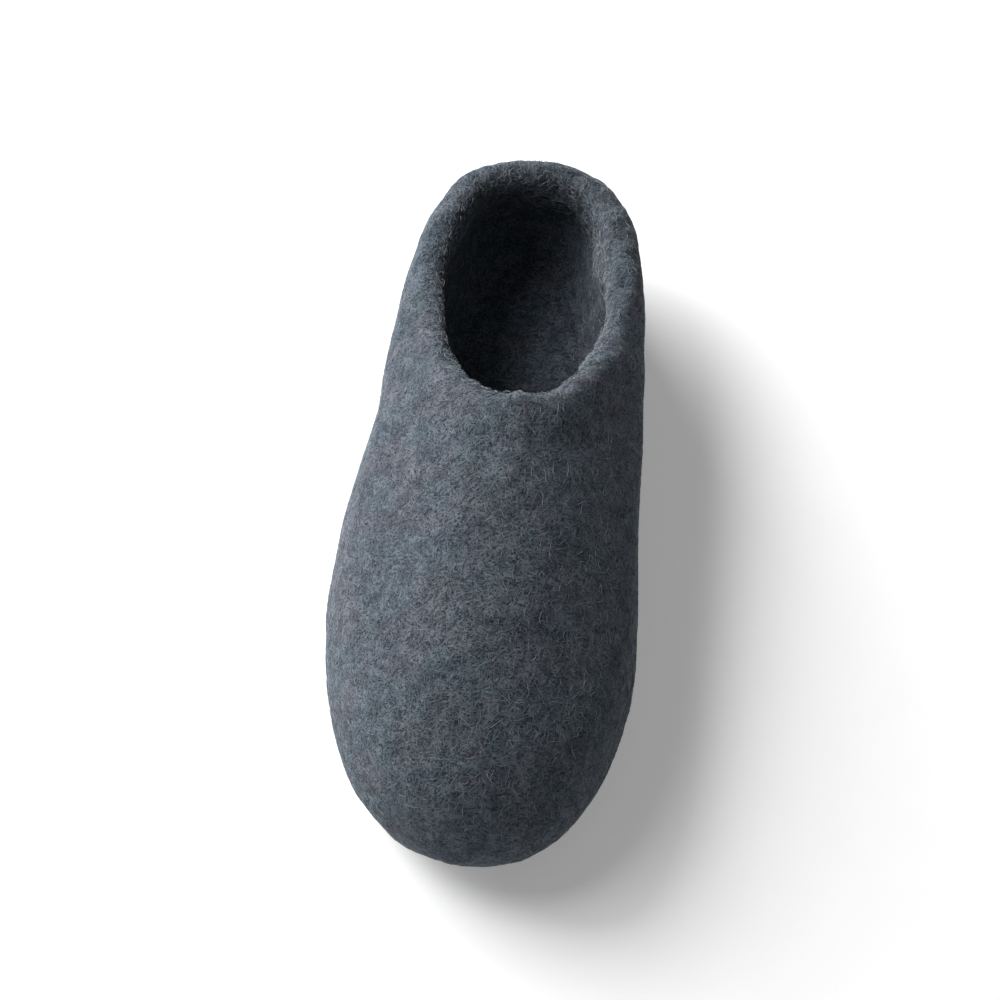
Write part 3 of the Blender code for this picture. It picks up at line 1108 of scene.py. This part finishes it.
studio = {
    "floorSize": 6.0,
    "floorColour": (0.86, 0.86, 0.86, 1),
    "floorShade": 0.985,                 # how dark its faint grain goes, in shares of the colour
    "floorGrain": {"scale": 60.0, "detail": 3.0, "roughness": 0.5, "edges": (0.3, 0.7)},
    "floorGlow": 0.24,
    "worldColour": (1.0, 1.0, 1.0, 1),
    "worldStrength": 0.12,
    "backdropStrength": 0.85,
    "keyPlace": (-1.50, 0.95, 0.95),
    "keySize": 2.0,
    "keyPower": 90.0,
    "fillPlace": (-1.25, 0.05, 1.65),
    "fillSize": 1.0,
    "fillPower": 16.0,
}


def makeFloor():
    # a faint glow of its own stands for the bright sweep that lifts the shadow
    material, tree, shader = newMaterial(
        "paleFloor", Metallic=0.0, Roughness=0.9, Specular_IOR_Level=0.1,
        Emission_Color=(1, 1, 1, 1), Emission_Strength=studio["floorGlow"])
    tone = softPattern(tree, objectPlace(tree), **studio["floorGrain"])
    pale = studio["floorColour"]
    shaded = tuple(studio["floorShade"] * part for part in pale[:3]) + (1,)
    tree.links.new(mixColour(tree, tone, shaded, pale), shader.inputs["Base Color"])
    half = studio["floorSize"] / 2
    corners = np.array([(-half, -half, 0), (half, -half, 0), (half, half, 0), (-half, half, 0)], float)
    noTris = np.zeros((0, 3), int)
    floor = buildMesh("paleFloor", corners, np.array([[0, 1, 2, 3]]), noTris, [material])


def addAreaLight(name, place, size, power):
    # a round soft light that looks at the shoe
    light = bpy.data.lights.new(name, "AREA")
    light.shape = "DISK"
    light.size = size
    light.energy = power
    lamp = bpy.data.objects.new(name, light)
    lamp.location = place
    lamp.rotation_mode = "QUATERNION"
    lamp.rotation_quaternion = Vector(place).to_track_quat("Z", "Y")
    bpy.context.scene.collection.objects.link(lamp)


def makeWorld():
    # the room lights softly, and shows paler behind the floor's far edge
    world = bpy.data.worlds.new("softRoom")
    world.use_nodes = True
    tree = world.node_tree
    room = tree.nodes["Background"]
    setInputs(room, Color=studio["worldColour"], Strength=studio["worldStrength"])
    backdrop = addNode(tree, "Background")
    setInputs(backdrop, Color=studio["worldColour"], Strength=studio["backdropStrength"])
    rays = addNode(tree, "LightPath")
    either = addNode(tree, "MixShader")
    tree.links.new(rays.outputs["Is Camera Ray"], either.inputs[0])
    tree.links.new(room.outputs[0], either.inputs[1])
    tree.links.new(backdrop.outputs[0], either.inputs[2])
    tree.links.new(either.outputs[0], tree.nodes["World Output"].inputs["Surface"])
    bpy.context.scene.world = world


makeFloor()
addAreaLight("keyLight", studio["keyPlace"], studio["keySize"], studio["keyPower"])
addAreaLight("fillLight", studio["fillPlace"], studio["fillSize"], studio["fillPower"])
makeWorld()

cameraPlace = {
    "azimuth": 1.96,
    "elevation": 55.7,
    "roll": 5.29,
    "distance": 1.0,
    "aim": (0.0, 0.0, 0.03),
    "lens": 103.5,
    "sensor": 36.0,
}


def makeCamera():
    data = bpy.data.cameras.new("photoCamera")
    data.lens = cameraPlace["lens"]
    data.sensor_width = cameraPlace["sensor"]
    data.clip_start, data.clip_end = 0.05, 20.0
    camera = bpy.data.objects.new("photoCamera", data)
    turn, height, roll = (
        math.radians(cameraPlace[key]) for key in ("azimuth", "elevation", "roll"))
    level = math.cos(height)
    back = Vector((math.sin(turn) * level, -math.cos(turn) * level, math.sin(height)))
    right = Vector((math.cos(turn), math.sin(turn), 0))
    up = back.cross(right)
    rolledRight = math.cos(roll) * right + math.sin(roll) * up
    rolledUp = -math.sin(roll) * right + math.cos(roll) * up
    axes = Matrix((rolledRight, rolledUp, back)).transposed()
    place = Vector(cameraPlace["aim"]) + back * cameraPlace["distance"]
    camera.matrix_world = Matrix.Translation(place) @ axes.to_4x4()
    bpy.context.scene.collection.objects.link(camera)
    bpy.context.scene.camera = camera


makeCamera()
bpy.context.scene.view_settings.view_transform = "Standard"
print("floor, lights and camera ready")
